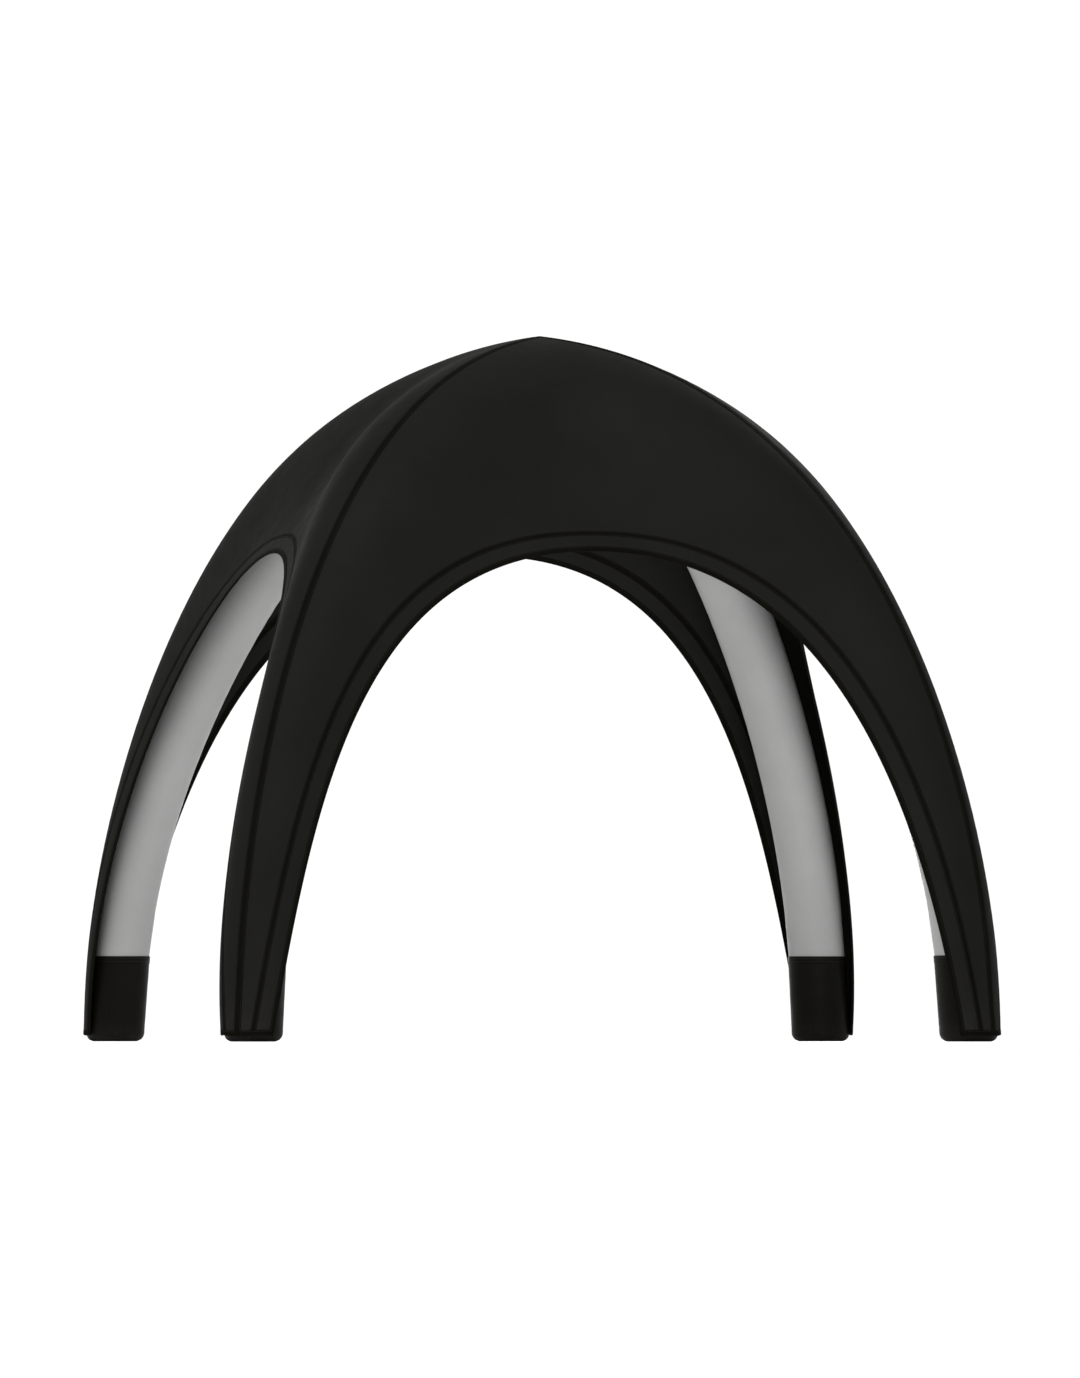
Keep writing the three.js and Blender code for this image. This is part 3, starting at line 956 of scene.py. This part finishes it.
def folded_radius(distances, seed):
    """Radius round a tube, with soft folds on the inside of its bend."""
    angle = np.linspace(0.0, 2 * np.pi, TUBE_SIDES, endpoint=False)
    inner_side = np.clip(-np.cos(angle), 0.0, 1.0) ** TUBE_FOLD_FADE
    bend = np.sin(np.pi * np.clip(distances / RIDGE_LENGTH, 0.0, 1.0)) ** 2
    folds = puckers(distances, TUBE_FOLD_PITCH, seed) * bend
    return plain_radius(distances)[:, None] - TUBE_FOLD_DEPTH * np.outer(folds, inner_side)


def bent_rings(distances, seed):
    """Rings of the bent stretch of a tube under its ridge."""
    position, _, facing = ridge_at(distances)
    drop = TUBE_DROP * np.sin(np.pi * (distances / RIDGE_LENGTH)) ** 2
    depth = plain_radius(distances) + SKIN_OFFSET + drop
    return ring_at(position - facing * depth[:, None], facing, folded_radius(distances, seed))


def tube_rings(seed):
    """Rings of a tube from the mitre at the crown to the sole of its boot."""
    distances = np.arange(TUBE_MITRE_BAY, RIDGE_LENGTH - TUBE_FOOT_BAY, TUBE_STEP)
    bent = bent_rings(distances, seed)
    crown_ring = mitre_ring(bent_rings(np.zeros(1), seed)[0], bent[0])
    shares = np.linspace(0.0, 1.0, TUBE_BAY_RINGS, endpoint=False)[:, None, None]
    crown_bay = mix(crown_ring, bent[0], shares)
    top_ring = level_rings(np.array([BOOT_HEIGHT]), np.full((1, TUBE_SIDES), TUBE_RADIUS_FOOT))[0]
    foot_bay = mix(bent[-1], top_ring, shares)[1:]
    round_size = BOOT_ROUND - BOOT_WALL - BOOT_FIT
    radii, heights = rounded_end(TUBE_RADIUS_FOOT, BOOT_FLOOR + BOOT_FIT, round_size, TUBE_END_RINGS)
    radii = np.concatenate([[TUBE_RADIUS_FOOT], radii])
    heights = np.concatenate([[BOOT_HEIGHT], heights])
    foot = level_rings(heights, np.repeat(radii[:, None], TUBE_SIDES, axis=1))
    return np.concatenate([crown_bay, bent, foot_bay, foot])


def make_tube(turns):
    """Inflated leg under a ridge."""
    corner = CORNERS[turns]
    rings = tube_rings(turns)
    around = np.linspace(0.0, 2 * np.pi * TUBE_RADIUS_FOOT, TUBE_SIDES, endpoint=False)
    piece = new_piece(
        f"tube_{corner}",
        turned(rings, turns),
        loop_faces(len(rings), TUBE_SIDES),
        [MATERIALS["tube"]],
        weave=flat_strip(lengths_along(rings.mean(axis=1)), around)[..., ::-1],
    )
    return stand_for(piece, f"air_tube_{corner}")


def boot_profile():
    """Radii and heights of a boot, from its inner floor over the turned top hem down to the sole."""
    hem_outer = BOOT_OUTER + BOOT_HEM_RISE
    hem_bottom = BOOT_HEIGHT - BOOT_HEM
    inner_radii, inner_heights = rounded_end(
        BOOT_INNER, BOOT_FLOOR, BOOT_ROUND - BOOT_WALL, BOOT_INNER_END_RINGS)
    outer_radii, outer_heights = rounded_end(BOOT_OUTER, 0.0, BOOT_ROUND, BOOT_OUTER_END_RINGS)
    wall_heights = np.linspace(
        hem_bottom - BOOT_HEM_CLEAR, outer_heights[0], BOOT_WALL_RINGS, endpoint=False)
    hem = np.array([
        (BOOT_INNER, BOOT_HEIGHT - BOOT_LIP_HEIGHT),
        (BOOT_INNER + BOOT_LIP_WIDTH, BOOT_HEIGHT),
        (hem_outer - BOOT_LIP_WIDTH, BOOT_HEIGHT),
        (hem_outer, BOOT_HEIGHT - BOOT_LIP_HEIGHT),
        (hem_outer, BOOT_HEIGHT - BOOT_HEM / 2),
        (hem_outer, hem_bottom + BOOT_HEM_STEP),
        (BOOT_OUTER + BOOT_HEM_RISE / 2, hem_bottom),
        (BOOT_OUTER, hem_bottom - BOOT_HEM_STEP),
    ])
    wall_radii = np.full(BOOT_WALL_RINGS, BOOT_OUTER)
    radii = np.concatenate([inner_radii[::-1], hem[:, 0], wall_radii, outer_radii])
    heights = np.concatenate([inner_heights[::-1], hem[:, 1], wall_heights, outer_heights])
    return radii, heights


def creased(radii, heights, angle, turns):
    """Radii round a boot, with soft creases in the wall on the side that the roof leaves free."""
    free_share = (-np.cos(angle) - BOOT_FREE_START) / (BOOT_FREE_FULL - BOOT_FREE_START)
    free_side = np.clip(free_share, 0.0, 1.0)
    waves = 0.5 + 0.5 * np.sin(BOOT_CREASE_WAVES * angle + BOOT_CREASE_TURN * turns)
    creases = puckers(heights + BOOT_CREASE_SHIFT * turns, BOOT_CREASE_PITCH, turns)
    outside = radii > BOOT_INNER + BOOT_WALL / 2
    wall = outside & (heights > BOOT_ROUND) & (heights < BOOT_HEIGHT - BOOT_HEM)
    return radii[:, None] - BOOT_CREASE * np.outer(creases * wall, free_side * waves)


def boot_hem_lines():
    """Two lines of stitches round the hem of a boot."""
    radius = np.full((1, BOOT_STITCH_POINTS), BOOT_OUTER + BOOT_HEM_RISE)
    lines = []
    for drop in (BOOT_STITCH_INSET, BOOT_HEM - BOOT_STITCH_INSET):
        height = np.array([BOOT_HEIGHT - drop])
        ring = level_rings(height, radius)[0]
        lines.append((ring, unit(ring - leg_centre(height))))
    return lines


def make_boot(turns):
    """Cup of coated cloth over the foot of a tube."""
    corner = CORNERS[turns]
    radii, heights = boot_profile()
    angle = np.linspace(0.0, 2 * np.pi, BOOT_SIDES, endpoint=False)
    rings = level_rings(heights, creased(radii, heights, angle, turns))
    profile = np.stack([radii, np.zeros_like(radii), heights], axis=1)
    piece = new_piece(
        f"boot_cup_{corner}",
        turned(rings, turns),
        loop_faces(len(rings), BOOT_SIDES),
        [MATERIALS["boot"]],
        weave=flat_strip(lengths_along(profile), angle * TUBE_RADIUS_FOOT)[..., ::-1],
        wear=low_wear(rings, BOOT_DUST_TOP),
    )
    stand_for(piece, f"boot_{corner}")
    make_stitching(f"boot_stitching_{corner}", boot_hem_lines(), turns)


# The tent

panel = Panel()
tubes = [make_tube(turns) for turns in range(4)]
for turns in range(4):
    make_boot(turns)
    make_ridge_tape(turns)
for turns, side in enumerate(SIDES):
    cloth = make_panel(panel, turns)
    arch_tape, arch_lines = make_arch_binding(panel, turns)
    first_tape, first_lines = make_foot_binding(panel, turns, "first")
    second_tape, second_lines = make_foot_binding(panel, turns, "second")
    sewn_lines = [*hem_seam_lines(panel, turns), *arch_lines, *first_lines, *second_lines]
    stitching = make_stitching(f"stitching_{side}", sewn_lines, turns)


# Floor, light and camera

def make_floor():
    """Wide pale disc under the feet."""
    angle = np.linspace(0.0, 2 * np.pi, FLOOR_SIDES, endpoint=False)
    points = np.stack([np.cos(angle), np.sin(angle), np.zeros(FLOOR_SIDES)], axis=1) * FLOOR_RADIUS
    mesh = bpy.data.meshes.new("floor")
    mesh.from_pydata(points.tolist(), [], [list(range(FLOOR_SIDES))])
    mesh.materials.append(MATERIALS["floor"])
    floor = bpy.data.objects.new("floor", mesh)
    bpy.context.scene.collection.objects.link(floor)


def aim(thing, target):
    thing.rotation_euler = (Vector(target) - thing.location).to_track_quat("-Z", "Y").to_euler()


def half_turned(place):
    """Place after a half turn about +Z."""
    return -place[0], -place[1], place[2]


def add_light(name, kind, place, power):
    """Light that doesn't show itself in the picture."""
    light = bpy.data.objects.new(name, bpy.data.lights.new(name, kind))
    light.data.energy = power
    light.location = place
    light.visible_camera = False
    bpy.context.scene.collection.objects.link(light)
    return light


def add_softbox(name, place, target, size, power):
    softbox = add_light(name, "AREA", place, power)
    softbox.data.shape = "DISK"
    softbox.data.size = size
    aim(softbox, target)


def add_inner_glow(name, place, size, power):
    """Soft light inside the tent, which opens up its dark lining."""
    glow = add_light(name, "POINT", place, power)
    glow.data.shadow_soft_size = size


def add_overhead():
    """Wide even light from far above, which keeps the whole floor pale."""
    overhead = add_light("overhead", "SUN", OVERHEAD_PLACE, OVERHEAD_STRENGTH)
    overhead.data.angle = OVERHEAD_SPREAD
    aim(overhead, (0.0, 0.0, 0.0))


def add_backdrop():
    """White surroundings that dim overhead, so that the lights there shape the dark cloth."""
    world = bpy.data.worlds.new("white_studio")
    world.use_nodes = True
    tree = world.node_tree
    background = tree.nodes["Background"]
    background.inputs["Color"].default_value = (1.0, 1.0, 1.0, 1.0)
    coordinates = tree.nodes.new("ShaderNodeTexCoord")
    axes = tree.nodes.new("ShaderNodeSeparateXYZ")
    link(tree, coordinates.outputs["Generated"], axes.inputs["Vector"])
    strength = ranged(tree, axes.outputs["Z"], BACKDROP_LOW, BACKDROP_HIGH, band=BACKDROP_BAND)
    link(tree, strength, background.inputs["Strength"])
    bpy.context.scene.world = world


def light_scene():
    add_backdrop()
    add_overhead()
    for name, box in SOFTBOXES.items():
        add_softbox(name, **box)
    for name, box in SOFTBOXES.items():
        twin = {**box, "place": half_turned(box["place"]), "target": half_turned(box["target"])}
        add_softbox(f"back_{name}", **twin)
    for name, glow in INNER_GLOWS.items():
        add_inner_glow(name, **glow)
    bpy.context.scene.view_settings.view_transform = "Standard"


def place_camera():
    """Camera at the photograph's angle, so far away that near and far legs come out alike."""
    data = bpy.data.cameras.new("camera")
    data.sensor_width = SENSOR
    data.lens = SENSOR * VIEW_DISTANCE / FRAME_HEIGHT
    data.clip_end = VIEW_DISTANCE + FLOOR_RADIUS
    camera = bpy.data.objects.new("camera", data)
    bpy.context.scene.collection.objects.link(camera)
    towards = Vector((math.sin(VIEW_AZIMUTH), math.cos(VIEW_AZIMUTH), 0.0))
    aside = Vector((math.cos(VIEW_AZIMUTH), -math.sin(VIEW_AZIMUTH), 0.0))
    centre = aside * VIEW_CENTRE_ASIDE + Vector((0.0, 0.0, VIEW_CENTRE_HEIGHT))
    camera.location = centre - towards * VIEW_DISTANCE
    camera.location.z = VIEW_HEIGHT
    aim(camera, centre)
    bpy.context.scene.camera = camera


make_floor()
light_scene()
place_camera()
